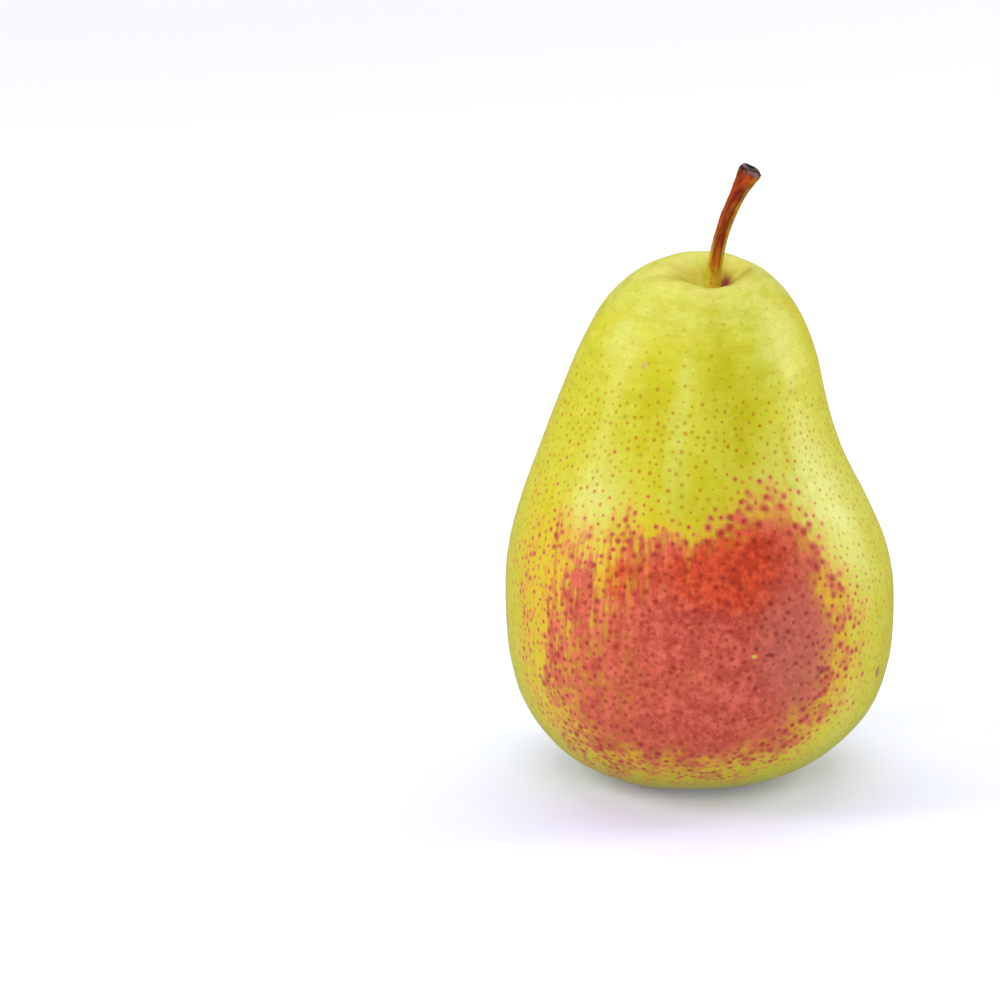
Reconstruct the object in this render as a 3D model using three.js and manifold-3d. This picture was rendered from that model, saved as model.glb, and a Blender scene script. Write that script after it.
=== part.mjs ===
// A blush pear standing on its calyx end: the fruit, its stalk and the dried calyx in the basin below.
// Millimetres, +Z up, the origin in the middle of the spot that the fruit stands on. The blush faces -Y.
import * as THREE from "three";
import { mergeVertices } from "three/addons/utils/BufferGeometryUtils.js";
import Module from "manifold-3d";

const wasm = await Module();
wasm.setup();

const degrees = THREE.MathUtils.degToRad;
const smoothstep = THREE.MathUtils.smoothstep;

// Overall sizes
const bellyRadius = 33; // widest half width, a third of the way up
const crownHeight = 87.4; // the rim around the stalk cavity, before the crown tilts
const fitGap = 0.3; // clearance around what is sunk into the fruit

// Outline of the fruit as [share of bellyRadius, share of crownHeight], from the calyx basin to the stalk
const outline = [
  [0.079, 0.068],
  [0.115, 0.06],
  [0.165, 0.034],
  [0.22, 0.011],
  [0.28, 0.0],
  [0.345, 0.001],
  [0.525, 0.021],
  [0.725, 0.063],
  [0.9, 0.142],
  [0.98, 0.233],
  [1.0, 0.338],
  [0.977, 0.445],
  [0.89, 0.549],
  [0.776, 0.647],
  [0.685, 0.747],
  [0.6, 0.848],
  [0.492, 0.926],
  [0.33, 0.983],
  [0.235, 0.998],
  [0.145, 0.985],
  [0.085, 0.966],
  [0.056, 0.954],
];
const outlineSteps = 56;
const skinSegments = 80;

// Ways in which the grown fruit departs from a turned one
const lobes = { count: 5, turn: degrees(18), swell: 0.45, foot: 0.4, fadeHeight: 16 };
const base = { shift: -2.0, fadeHeight: 6.5 }; // the foot stands to the left of the belly's middle
const flank = { shift: -2.0, height: 59.7, spread: 17.7 }; // the neck bulges to -X, its +X side is hollow
const back = { shift: 0.9, height: 70, spread: 22 }; // and it leans a little to the back
const crown = { tilt: degrees(11), from: 58, to: 90 }; // the back shoulder stands higher than the front
const cavity = { shift: 1.4, inner: 3, outer: 12 }; // the stalk stands off the middle
const folds = [
  { angle: degrees(28), width: degrees(20), rise: -0.9 },
  { angle: degrees(-30), width: degrees(30), rise: 0.4 },
  { angle: degrees(-130), width: degrees(26), rise: 0.4 },
  { angle: degrees(186), width: degrees(13), rise: -1.0 },
]; // creases and swellings that run out from the stalk
const foldStart = 4.5; // radius at which they have their full height
const ribs = { count: 9, turn: degrees(-90), swell: 0.22, height: 70, spread: 18 };

// The stalk
const stalk = {
  holeDepth: 4.2,
  foot: 1.4, // radius where it leaves the fruit
  waist: 1.22,
  knob: 1.95, // the swollen end that broke off the spur
  length: 26.4,
  knobLength: 4.5,
  ridges: 5,
  ridgeHeight: 0.07, // as a share of the radius
  segments: 20,
};

// The calyx: a woody disc with the five dried sepals of the flower and stubs of its stamens
const calyx = {
  discRadius: 2.3,
  discHeight: 1.2,
  recessDepth: 1.4,
  sepals: 5,
  sepalLength: 3.6,
  sepalWidth: 1.8,
  sepalThickness: 0.65,
  stubs: 5,
  stubRadius: 0.34,
  stubLength: 2.0,
};

const recessRadius = calyx.discRadius + fitGap;
const holeRadius = stalk.foot + fitGap;
const basinMouth = { radius: recessRadius, height: outline[0][1] * crownHeight };
const holeMouth = { radius: holeRadius, height: outline.at(-1)[1] * crownHeight };

// A soft hump of height 1 around a centre
const hump = (value, centre, spread) => Math.exp(-(((value - centre) / spread) ** 2));

// The signed angle from one direction to another, between -PI and PI
const turnBetween = (a, b) => Math.atan2(Math.sin(a - b), Math.cos(a - b));

// Where a point of the turned outline stands on the grown fruit
function grow(radius, height, angle) {
  const lobe = Math.cos(lobes.count * (angle - lobes.turn));
  const low = 1 - smoothstep(height, 0.05 * crownHeight, 0.14 * crownHeight);
  const top = smoothstep(height, crown.from, crown.to);
  const centre = height > 0.5 * crownHeight ? 1 - smoothstep(radius, cavity.inner, cavity.outer) : 0;
  let r = radius + lobes.swell * lobe * (radius / bellyRadius) * Math.exp(-height / lobes.fadeHeight);
  r += ribs.swell * Math.cos(ribs.count * (angle - ribs.turn)) * hump(height, ribs.height, ribs.spread);
  // Five pads: the foot's ring is pushed down under each lobe, and further down it is cut off level
  let z = height - low * (lobes.foot * lobe * hump(radius, 10, 4.5) + 0.25 * hump(radius, 10, 3));
  let x = r * Math.cos(angle);
  let y = r * Math.sin(angle);
  z += Math.tan(crown.tilt) * y * top * smoothstep(radius, holeRadius, cavity.inner + holeRadius);
  for (const fold of folds) {
    const across = hump(turnBetween(angle, fold.angle), 0, fold.width);
    const along = smoothstep(radius, holeRadius, foldStart) * (1 - smoothstep(radius, 5, 12));
    z += fold.rise * across * along * top;
  }
  x += flank.shift * hump(height, flank.height, flank.spread) * (1 - centre) + cavity.shift * centre;
  const basin = height < 0.1 * crownHeight ? 1 - smoothstep(radius, 5, 9) : 0;
  x += base.shift * Math.max(basin, Math.exp(-height / base.fadeHeight));
  y += back.shift * hump(height, back.height, back.spread) * (1 - centre);
  return [x, y, Math.max(z, 0)];
}

// Turns a lathe's upright Y axis to Z, as [radius, height, angle] of each vertex, and places it by a formula
function placeVertices(geometry, place) {
  const position = geometry.getAttribute("position");
  for (let i = 0; i < position.count; i++) {
    const [across, up, deep] = [position.getX(i), position.getY(i), position.getZ(i)];
    position.setXYZ(i, ...place(Math.hypot(across, deep), up, Math.atan2(-deep, across)));
  }
  return geometry;
}

// One closed solid from a geometry whose vertices lie apart
function solid(geometry) {
  const bare = geometry.clone().deleteAttribute("normal").deleteAttribute("uv");
  const merged = mergeVertices(bare, 1e-4);
  const corners = merged.index.array;
  const kept = [];
  for (let i = 0; i < corners.length; i += 3) {
    const [a, b, c] = corners.slice(i, i + 3);
    if (a !== b && b !== c && c !== a) {
      kept.push(a, b, c);
    }
  }
  const vertProperties = new Float32Array(merged.getAttribute("position").array);
  const made = new wasm.Manifold(new wasm.Mesh({ numProp: 3, vertProperties, triVerts: new Uint32Array(kept) }));
  return made;
}

function geometryOf(manifold) {
  const { vertProperties, triVerts } = manifold.getMesh();
  const geometry = new THREE.BufferGeometry();
  geometry.setAttribute("position", new THREE.BufferAttribute(vertProperties, 3));
  geometry.setIndex(new THREE.BufferAttribute(triVerts, 1));
  geometry.computeVertexNormals();
  return geometry;
}

function fruitGeometry() {
  const stations = outline.map(
    ([radius, height]) => new THREE.Vector3(radius * bellyRadius, height * crownHeight, 0),
  );
  stations[0].x = basinMouth.radius;
  stations.at(-1).x = holeMouth.radius;
  const curve = new THREE.CatmullRomCurve3(stations, false, "centripetal");
  const skin = curve.getPoints(outlineSteps).map((p) => new THREE.Vector2(p.x, p.y));
  const recessTop = basinMouth.height + calyx.recessDepth;
  const holeBottom = holeMouth.height - stalk.holeDepth;
  const profile = [
    new THREE.Vector2(0, recessTop),
    new THREE.Vector2(basinMouth.radius, recessTop),
    ...skin,
    new THREE.Vector2(holeMouth.radius, holeBottom),
    new THREE.Vector2(0, holeBottom),
  ];
  return placeVertices(new THREE.LatheGeometry(profile, skinSegments), grow);
}

// The stalk's middle line: upright in its hole, then bending away to +X and a little to the front
function stalkCurve() {
  const foot = holeMouth.height - stalk.holeDepth + fitGap;
  return new THREE.CatmullRomCurve3([
    new THREE.Vector3(cavity.shift, 0, foot),
    new THREE.Vector3(cavity.shift, 0, holeMouth.height),
    new THREE.Vector3(1.9, 0, 88.4),
    new THREE.Vector3(2.7, -0.1, 92.6),
    new THREE.Vector3(4.0, -0.3, 96.8),
    new THREE.Vector3(5.7, -0.7, 100.9),
    new THREE.Vector3(7.7, -1.3, 105.0),
  ]);
}

// Lays a lathe whose heights run from 0 to 1 along a curve, with ridges that fade out towards the foot
function stalkGeometry() {
  const knobShare = stalk.knobLength / stalk.length;
  const radii = [
    [0, 0],
    [stalk.foot * 0.9, 0],
    [stalk.foot, 0.04],
    [stalk.foot, 0.2],
    [stalk.waist * 1.03, 0.32],
    [stalk.waist * 0.97, 0.5],
    [stalk.waist, 0.68],
    [stalk.waist * 1.08, 1 - knobShare],
    [stalk.knob * 0.84, 1 - knobShare * 0.5],
    [stalk.knob * 0.98, 1 - knobShare * 0.2],
    [stalk.knob * 0.96, 1 - knobShare * 0.06],
    [stalk.knob * 0.8, 1],
    [stalk.knob * 0.45, 0.985],
    [0, 0.98],
  ];
  const side = radii.slice(1, -3).map(([r, u]) => new THREE.Vector2(r, u));
  const smooth = new THREE.SplineCurve(side).getPoints(26);
  const ends = [radii[0], ...radii.slice(-3)].map(([r, u]) => new THREE.Vector2(r, u));
  const profile = [ends[0], ...smooth, ...ends.slice(1)];
  const curve = stalkCurve();
  const toBack = new THREE.Vector3(0, 1, 0);
  return placeVertices(new THREE.LatheGeometry(profile, stalk.segments), (radius, share, angle) => {
    const middle = curve.getPointAt(share);
    const along = curve.getTangentAt(share);
    const right = new THREE.Vector3().crossVectors(toBack, along).normalize();
    const deep = new THREE.Vector3().crossVectors(along, right);
    const ridge = stalk.ridgeHeight * smoothstep(share, 0.25, 0.95) * Math.cos(stalk.ridges * (angle - share));
    const r = radius * (1 + ridge);
    middle.addScaledVector(right, r * Math.cos(angle)).addScaledVector(deep, r * Math.sin(angle));
    return middle.toArray();
  });
}

// A sepal as a curved blade: it hangs from the disc's rim, closes in over the eye and turns out at its tip
function sepalGeometry() {
  const { discRadius, sepalLength, sepalWidth, sepalThickness } = calyx;
  const blade = new THREE.Shape();
  blade.moveTo(-sepalWidth / 2, 0);
  blade.quadraticCurveTo(-sepalWidth / 2, sepalLength * 0.55, -0.12, sepalLength);
  blade.lineTo(0.12, sepalLength);
  blade.quadraticCurveTo(sepalWidth / 2, sepalLength * 0.55, sepalWidth / 2, 0);
  blade.closePath();
  const geometry = new THREE.ExtrudeGeometry(blade, {
    depth: sepalThickness,
    bevelEnabled: false,
    curveSegments: 6,
  });
  const position = geometry.getAttribute("position");
  for (let i = 0; i < position.count; i++) {
    const [across, along, thick] = [position.getX(i), position.getY(i), position.getZ(i)];
    const share = along / sepalLength;
    const hollow = 0.5 * (across / discRadius) ** 2; // it is hollow across, as the disc is round
    const out = discRadius - 0.1 - sepalThickness - 0.8 * Math.sin(2.2 * share) + 0.9 * share ** 3;
    position.setXYZ(i, out + thick - hollow, -across, 0.3 - 0.9 * along);
  }
  return geometry;
}

// The disc lies on its own zero height and everything else hangs from it
function calyxGeometry() {
  const { discRadius, discHeight, sepals, stubs, stubRadius, stubLength } = calyx;
  const disc = new THREE.CylinderGeometry(discRadius, discRadius, discHeight, 30)
    .rotateX(Math.PI / 2)
    .translate(0, 0, discHeight / 2);
  let made = solid(disc);
  for (let i = 0; i < sepals; i++) {
    made = made.add(solid(sepalGeometry().rotateZ((i * 2 * Math.PI) / sepals + lobes.turn)));
  }
  for (let i = 0; i < stubs; i++) {
    const angle = ((i + 0.5) * 2 * Math.PI) / stubs + lobes.turn;
    const stub = new THREE.CylinderGeometry(stubRadius, stubRadius * 0.7, stubLength, 6)
      .rotateX(Math.PI / 2)
      .translate(0, 0, 0.3 - stubLength / 2)
      .rotateY(0.1 * Math.sin(2.4 * i))
      .translate(0.6 * Math.cos(angle), 0.6 * Math.sin(angle), 0);
    made = made.add(solid(stub));
  }
  return geometryOf(made);
}

const finishes = {
  skin: new THREE.MeshStandardMaterial({ color: 0xc9c92e, roughness: 0.42, metalness: 0 }),
  bark: new THREE.MeshStandardMaterial({ color: 0x8a4a1c, roughness: 0.6, metalness: 0 }),
  driedFlower: new THREE.MeshStandardMaterial({ color: 0x3f2418, roughness: 0.85, metalness: 0 }),
};

function named(name, geometry, material) {
  const mesh = new THREE.Mesh(geometry, material);
  mesh.name = name;
  return mesh;
}

const pear = new THREE.Group();
pear.name = "pear";
pear.add(named("fruit", fruitGeometry(), finishes.skin));
pear.add(named("stalk", stalkGeometry(), finishes.bark));
const calyxMesh = named("calyx", calyxGeometry(), finishes.driedFlower);
calyxMesh.position.x = base.shift;
calyxMesh.position.z = basinMouth.height + calyx.recessDepth - fitGap - calyx.discHeight;
pear.add(calyxMesh);

export default pear;
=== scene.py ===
import math
import random

import bmesh
import bpy
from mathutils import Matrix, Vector, kdtree, noise


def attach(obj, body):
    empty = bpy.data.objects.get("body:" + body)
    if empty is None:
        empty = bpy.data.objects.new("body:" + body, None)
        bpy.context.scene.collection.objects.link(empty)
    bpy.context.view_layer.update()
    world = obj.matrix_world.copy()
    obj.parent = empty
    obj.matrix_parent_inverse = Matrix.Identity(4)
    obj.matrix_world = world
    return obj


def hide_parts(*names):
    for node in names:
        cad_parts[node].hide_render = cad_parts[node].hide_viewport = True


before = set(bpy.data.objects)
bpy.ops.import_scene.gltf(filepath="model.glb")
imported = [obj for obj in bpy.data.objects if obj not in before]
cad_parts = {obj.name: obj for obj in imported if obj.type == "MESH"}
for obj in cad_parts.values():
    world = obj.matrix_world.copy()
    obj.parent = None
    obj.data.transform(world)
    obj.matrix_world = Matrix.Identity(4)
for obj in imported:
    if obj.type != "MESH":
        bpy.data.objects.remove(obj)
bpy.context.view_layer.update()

mm = 0.001
mergeGap = 1e-4  # millimetres; points nearer than this become one


# small helpers

def smoothStep(value, low, high):
    t = min(max((value - low) / (high - low), 0.0), 1.0)
    return t * t * (3 - 2 * t)


def hump(value, centre, spread):
    return math.exp(-(((value - centre) / spread) ** 2))


def turnBetween(a, b):
    return math.atan2(math.sin(a - b), math.cos(a - b))


def splinePoints(stations, steps, between=60):
    # centripetal spline through the stations, then spaced evenly along its length
    pts = [Vector(p) for p in stations]
    pts = [2 * pts[0] - pts[1]] + pts + [2 * pts[-1] - pts[-2]]
    fine = []
    for k in range(1, len(pts) - 2):
        p0, p1, p2, p3 = pts[k - 1:k + 3]
        d0, d1, d2 = (p1 - p0).length ** 0.5, (p2 - p1).length ** 0.5, (p3 - p2).length ** 0.5
        t1 = ((p1 - p0) / d0 - (p2 - p0) / (d0 + d1) + (p2 - p1) / d1) * d1
        t2 = ((p2 - p1) / d1 - (p3 - p1) / (d1 + d2) + (p3 - p2) / d2) * d1
        bend, twist = 3 * (p2 - p1) - 2 * t1 - t2, 2 * (p1 - p2) + t1 + t2
        for i in range(between):
            w = i / between
            fine.append(p1 + t1 * w + bend * w ** 2 + twist * w ** 3)
    fine.append(pts[-2])
    walked = [0.0]
    for a, b in zip(fine, fine[1:]):
        walked.append(walked[-1] + (b - a).length)
    even, k = [], 0
    for i in range(steps + 1):
        goal = walked[-1] * i / steps
        while k < len(fine) - 2 and walked[k + 1] < goal:
            k += 1
        gap = walked[k + 1] - walked[k]
        even.append(fine[k].lerp(fine[k + 1], (goal - walked[k]) / gap if gap else 0.0))
    return even


def lathe(profile, segments):
    # profile of (radius, height) spun about Z; ends on the axis close into poles
    bm = bmesh.new()
    verts = [bm.verts.new((r, 0, h)) for r, h in profile]
    edges = [bm.edges.new(pair) for pair in zip(verts, verts[1:])]
    bmesh.ops.spin(bm, geom=verts + edges, cent=(0, 0, 0), axis=(0, 0, 1), dvec=(0, 0, 0),
                   angle=2 * math.pi, steps=segments, use_merge=True, use_duplicate=False)
    bmesh.ops.remove_doubles(bm, verts=bm.verts, dist=mergeGap)
    return bm


def makePiece(name, bm, material, nodeName):
    # millimetres to metres, faces outward, smooth, and in place of its CAD node
    bmesh.ops.scale(bm, vec=(mm, mm, mm), verts=bm.verts)
    bmesh.ops.recalc_face_normals(bm, faces=bm.faces)
    for face in bm.faces:
        face.smooth = True
    mesh = bpy.data.meshes.new(name)
    bm.to_mesh(mesh)
    bm.free()
    mesh.materials.append(material)
    obj = bpy.data.objects.new(name, mesh)
    bpy.context.collection.objects.link(obj)
    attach(obj, "root")
    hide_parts(nodeName)
    print(name, len(mesh.polygons), "faces")
    return obj


def storeValues(mesh, name, kind, domain, values):
    layer = mesh.attributes.new(name, kind, domain)
    if kind == "FLOAT":
        layer.data.foreach_set("value", values)
    else:
        layer.data.foreach_set("vector", [c for v in values for c in v])


class Wiring:
    # short calls for wiring a material
    def __init__(self, name):
        self.material = bpy.data.materials.new(name)
        self.material.use_nodes = True
        self.tree = self.material.node_tree
        self.shader = self.tree.nodes["Principled BSDF"]
        self.spot = 0

    def put(self, socket, value):
        if isinstance(value, bpy.types.NodeSocket):
            self.tree.links.new(value, socket)
        elif value is not None:
            socket.default_value = value

    def node(self, kind, inputs=(), out=0, **settings):
        made = self.tree.nodes.new(kind)
        made.location = (-220 * (1 + self.spot % 9), 200 * (self.spot // 9))
        self.spot += 1
        for key, value in settings.items():
            setattr(made, key, value)
        for key, value in dict(inputs).items():
            self.put(made.inputs[key], value)
        return made.outputs[out]

    def place(self):
        return self.node("ShaderNodeTexCoord", out="Object")

    def stored(self, name, out="Fac"):
        return self.node("ShaderNodeAttribute", out=out, attribute_name=name)

    def split(self, vector):
        made = self.tree.nodes.new("ShaderNodeSeparateXYZ")
        self.put(made.inputs[0], vector)
        return made.outputs

    def sums(self, operation, a, b=None, c=None, clamp=False):
        made = self.tree.nodes.new("ShaderNodeMath")
        made.operation, made.use_clamp = operation, clamp
        for socket, value in zip(made.inputs, (a, b, c)):
            self.put(socket, value)
        return made.outputs[0]

    def vectors(self, operation, a, b=None, scale=None, out=0):
        made = self.tree.nodes.new("ShaderNodeVectorMath")
        made.operation = operation
        self.put(made.inputs[0], a)
        self.put(made.inputs[1], b)
        if scale is not None:
            self.put(made.inputs["Scale"], scale)
        return made.outputs[out]

    def ramp(self, value, low, high, start=0.0, end=1.0):
        # a smooth step between two values
        inputs = {"Value": value, "From Min": low, "From Max": high, "To Min": start, "To Max": end}
        return self.node("ShaderNodeMapRange", inputs, interpolation_type="SMOOTHSTEP")

    def noise(self, place, size, detail=2.0, rough=0.5):
        # size is the width of a blotch in millimetres
        inputs = {"Vector": place, "Scale": 0.5 / (size * mm), "Detail": detail, "Roughness": rough}
        return self.node("ShaderNodeTexNoise", inputs, out="Fac")

    def mix(self, factor, a, b, blend="MIX"):
        made = self.tree.nodes.new("ShaderNodeMix")
        made.data_type, made.blend_type = "RGBA", blend
        self.put(made.inputs["Factor"], factor)
        self.put(made.inputs["A"], a)
        self.put(made.inputs["B"], b)
        return made.outputs["Result"]

    def bump(self, height, depth, normal=None):
        inputs = {"Height": height, "Distance": depth * mm, "Strength": 1.0}
        if normal is not None:
            inputs["Normal"] = normal
        return self.node("ShaderNodeBump", inputs, out="Normal")


def tint(r, g, b):
    # a screen colour of 0 to 255 as the shader's linear one
    def linear(c):
        c /= 255
        return c / 12.92 if c <= 0.04045 else ((c + 0.055) / 1.055) ** 2.4
    return (linear(r), linear(g), linear(b), 1.0)


# camera and light

view = {
    "target": (-34.1, 11.9, 44.4),  # the middle of the picture, to the left of the pear
    "distance": 900.0,
    "elevation": 15.0,
    "width": 171.6,  # what the frame spans at that distance
    "sensor": 36.0,
    "nearest": 0.05,  # metres, as the next one
    "farthest": 30.0,
}


def addCamera():
    data = bpy.data.cameras.new("camera")
    data.sensor_width = view["sensor"]
    data.lens = view["sensor"] * view["distance"] / view["width"]
    data.clip_start, data.clip_end = view["nearest"], view["farthest"]
    camera = bpy.data.objects.new("camera", data)
    bpy.context.collection.objects.link(camera)
    rise = math.radians(view["elevation"])
    back = Vector((0, -math.cos(rise), math.sin(rise)))
    camera.location = (Vector(view["target"]) + back * view["distance"]) * mm
    camera.rotation_euler = (math.radians(90 - view["elevation"]), 0, 0)
    bpy.context.scene.camera = camera


studio = {
    "sky": 0.3,
    "aim": (0, 0, 0.045),  # where the lamps point, in metres
    "panels": {  # name: (azimuth, elevation, distance, width, height, watts)
        "leftBox": (-80, 30, 0.95, 0.36, 0.6, 3.9),
        "rightBox": (106, 24, 0.95, 0.36, 0.6, 3.8),
        "fill": (0, 30, 1.6, 0.9, 0.9, 8.4),
        "overhead": (180, 70, 1.5, 1.8, 1.4, 13.0),
    },
    "floor": {
        "reach": 6.0,
        "close": (0.02, 0.2),  # metres from the middle, over which the close colours give way
        "closeColour": (0.83, 0.86, 1, 1),
        "farColour": (0.94, 0.94, 0.97, 1),
        "closeGlow": (0.6, 0.58, 1, 1),
        "farGlow": (0.3, 0.3, 0.32, 1),
        "backdrop": (0.5, 2.0),  # metres, over which the glow grows
        "glow": (0.17, 2.4),
        "roughness": 0.9,
    },
}


def addLamps():
    world = bpy.data.worlds.new("studio")
    world.use_nodes = True
    world.node_tree.nodes["Background"].inputs["Color"].default_value = (1, 1, 1, 1)
    world.node_tree.nodes["Background"].inputs["Strength"].default_value = studio["sky"]
    bpy.context.scene.world = world
    bpy.context.scene.view_settings.view_transform = "Standard"
    for name, (azimuth, elevation, distance, width, height, watts) in studio["panels"].items():
        data = bpy.data.lights.new(name, "AREA")
        data.shape, data.size, data.size_y, data.energy = "RECTANGLE", width, height, watts
        lamp = bpy.data.objects.new(name, data)
        bpy.context.collection.objects.link(lamp)
        a, e = math.radians(azimuth), math.radians(elevation)
        away = Vector((math.sin(a) * math.cos(e), -math.cos(a) * math.cos(e), math.sin(e)))
        lamp.location = away * distance + Vector(studio["aim"])
        lamp.rotation_euler = away.to_track_quat("Z", "Y").to_euler()
        lamp.visible_glossy = name != "fill"  # no glare from this one


def addFloor():
    look = studio["floor"]
    bm = bmesh.new()
    bmesh.ops.create_grid(bm, x_segments=1, y_segments=1, size=look["reach"])
    mesh = bpy.data.meshes.new("floor")
    bm.to_mesh(mesh)
    bm.free()
    wires = Wiring("whiteFloor")
    away = wires.vectors("LENGTH", wires.place(), out="Value")
    # a little cooler close to the fruit, whose yellow light falls there
    far = wires.ramp(away, *look["close"])
    wires.put(wires.shader.inputs["Base Color"], wires.mix(far, look["closeColour"], look["farColour"]))
    # painted light: the floor glows, bluish close to the fruit to lift its shadow, more far off for an even
    # white backdrop
    wires.put(wires.shader.inputs["Emission Color"], wires.mix(far, look["closeGlow"], look["farGlow"]))
    wires.put(wires.shader.inputs["Emission Strength"], wires.ramp(away, *look["backdrop"], *look["glow"]))
    wires.shader.inputs["Roughness"].default_value = look["roughness"]
    mesh.materials.append(wires.material)
    floor = bpy.data.objects.new("floor", mesh)
    bpy.context.collection.objects.link(floor)
    floor.visible_glossy = False  # the rim of the fruit keeps its full colour


# the fruit

fruitShape = {
    "bellyRadius": 33.0,
    "crownHeight": 87.4,
    "outline": [
        (0.079, 0.068), (0.115, 0.06), (0.165, 0.034), (0.22, 0.011), (0.28, 0.0), (0.345, 0.001),
        (0.525, 0.021), (0.725, 0.063), (0.9, 0.142), (0.98, 0.233), (1.0, 0.338), (0.977, 0.445),
        (0.89, 0.549), (0.776, 0.647), (0.685, 0.747), (0.6, 0.848), (0.492, 0.926), (0.33, 0.983),
        (0.235, 0.998), (0.145, 0.985), (0.085, 0.966), (0.056, 0.954),
    ],
    "rows": 245,
    "segments": 380,
    "recessRadius": 2.6,
    "recessDepth": 1.4,
    "holeRadius": 1.48,
    "holeDepth": 4.2,
    "lobes": {"count": 5, "turn": math.radians(18), "swell": 0.45, "fade": 16,
              "foot": 0.4, "radius": 10, "width": 4.5},
    "sole": {"sink": 0.25, "radius": 10, "width": 3, "low": 0.05, "high": 0.14},  # cut level by the floor
    "base": {"shift": -2.0, "fade": 6.5, "inner": 5, "outer": 9, "below": 0.1},
    "flank": {"shift": -2.0, "height": 59.7, "spread": 17.7},
    "back": {"shift": 0.9, "height": 70, "spread": 22},
    "crown": {"tilt": math.radians(11), "low": 58, "high": 90},
    "cavity": {"shift": 1.4, "inner": 3, "outer": 12, "above": 0.5},
    "foldReach": {"full": 4.5, "fading": 5, "gone": 12},
    "folds": [  # angle, width, rise
        (math.radians(28), math.radians(20), -0.9),
        (math.radians(-30), math.radians(30), 0.4),
        (math.radians(186), math.radians(13), -1.0),
        (math.radians(-130), math.radians(26), 0.4),
    ],
    "ribs": {"count": 9, "turn": math.radians(-90), "swell": 0.22, "height": 70, "spread": 18},
    "dimples": [(14.0, 0.16), (5.0, 0.05)],  # width and depth of the slow unevenness of the skin
    "dimpleStart": {"height": (2, 8), "radius": (4, 10)},  # flat up to the first, in full from the second
}


def grow(radius, height, angle):
    # where a point of the turned outline stands on the grown fruit
    shape = fruitShape
    tall, wide = shape["crownHeight"], shape["bellyRadius"]
    lobes, ribs, crown, cavity = shape["lobes"], shape["ribs"], shape["crown"], shape["cavity"]
    sole, base, hole, reach = shape["sole"], shape["base"], shape["holeRadius"], shape["foldReach"]
    lobe = math.cos(lobes["count"] * (angle - lobes["turn"]))
    rib = math.cos(ribs["count"] * (angle - ribs["turn"]))
    low = 1 - smoothStep(height, sole["low"] * tall, sole["high"] * tall)
    top = smoothStep(height, crown["low"], crown["high"])
    inCavity, inBasin = height > cavity["above"] * tall, height < base["below"] * tall
    centre = 1 - smoothStep(radius, cavity["inner"], cavity["outer"]) if inCavity else 0.0
    basin = 1 - smoothStep(radius, base["inner"], base["outer"]) if inBasin else 0.0
    r = radius + lobes["swell"] * lobe * (radius / wide) * math.exp(-height / lobes["fade"])
    r += ribs["swell"] * rib * hump(height, ribs["height"], ribs["spread"])
    foot = lobes["foot"] * lobe * hump(radius, lobes["radius"], lobes["width"])
    z = height - low * (foot + sole["sink"] * hump(radius, sole["radius"], sole["width"]))
    x, y = r * math.cos(angle), r * math.sin(angle)
    z += math.tan(crown["tilt"]) * y * top * smoothStep(radius, hole, cavity["inner"] + hole)
    slope = smoothStep(radius, hole, reach["full"])
    slope *= 1 - smoothStep(radius, reach["fading"], reach["gone"])
    for turn, width, rise in shape["folds"]:
        z += rise * hump(turnBetween(angle, turn), 0, width) * slope * top
    flank, back = shape["flank"], shape["back"]
    x += flank["shift"] * hump(height, flank["height"], flank["spread"]) * (1 - centre)
    x += cavity["shift"] * centre
    x += base["shift"] * max(basin, math.exp(-height / base["fade"]))
    y += back["shift"] * hump(height, back["height"], back["spread"]) * (1 - centre)
    return Vector((x, y, max(z, 0.0)))


def skinPoint(radius, height, angle):
    # the grown point with the slow unevenness of the skin
    place = grow(radius, height, angle)
    start = fruitShape["dimpleStart"]
    calm = smoothStep(height, *start["height"]) * smoothStep(radius, *start["radius"])
    if calm > 0:
        outward = Vector((math.cos(angle), math.sin(angle), 0))
        for width, depth in fruitShape["dimples"]:
            place += outward * depth * calm * noise.noise(place / width)
    return place


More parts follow.
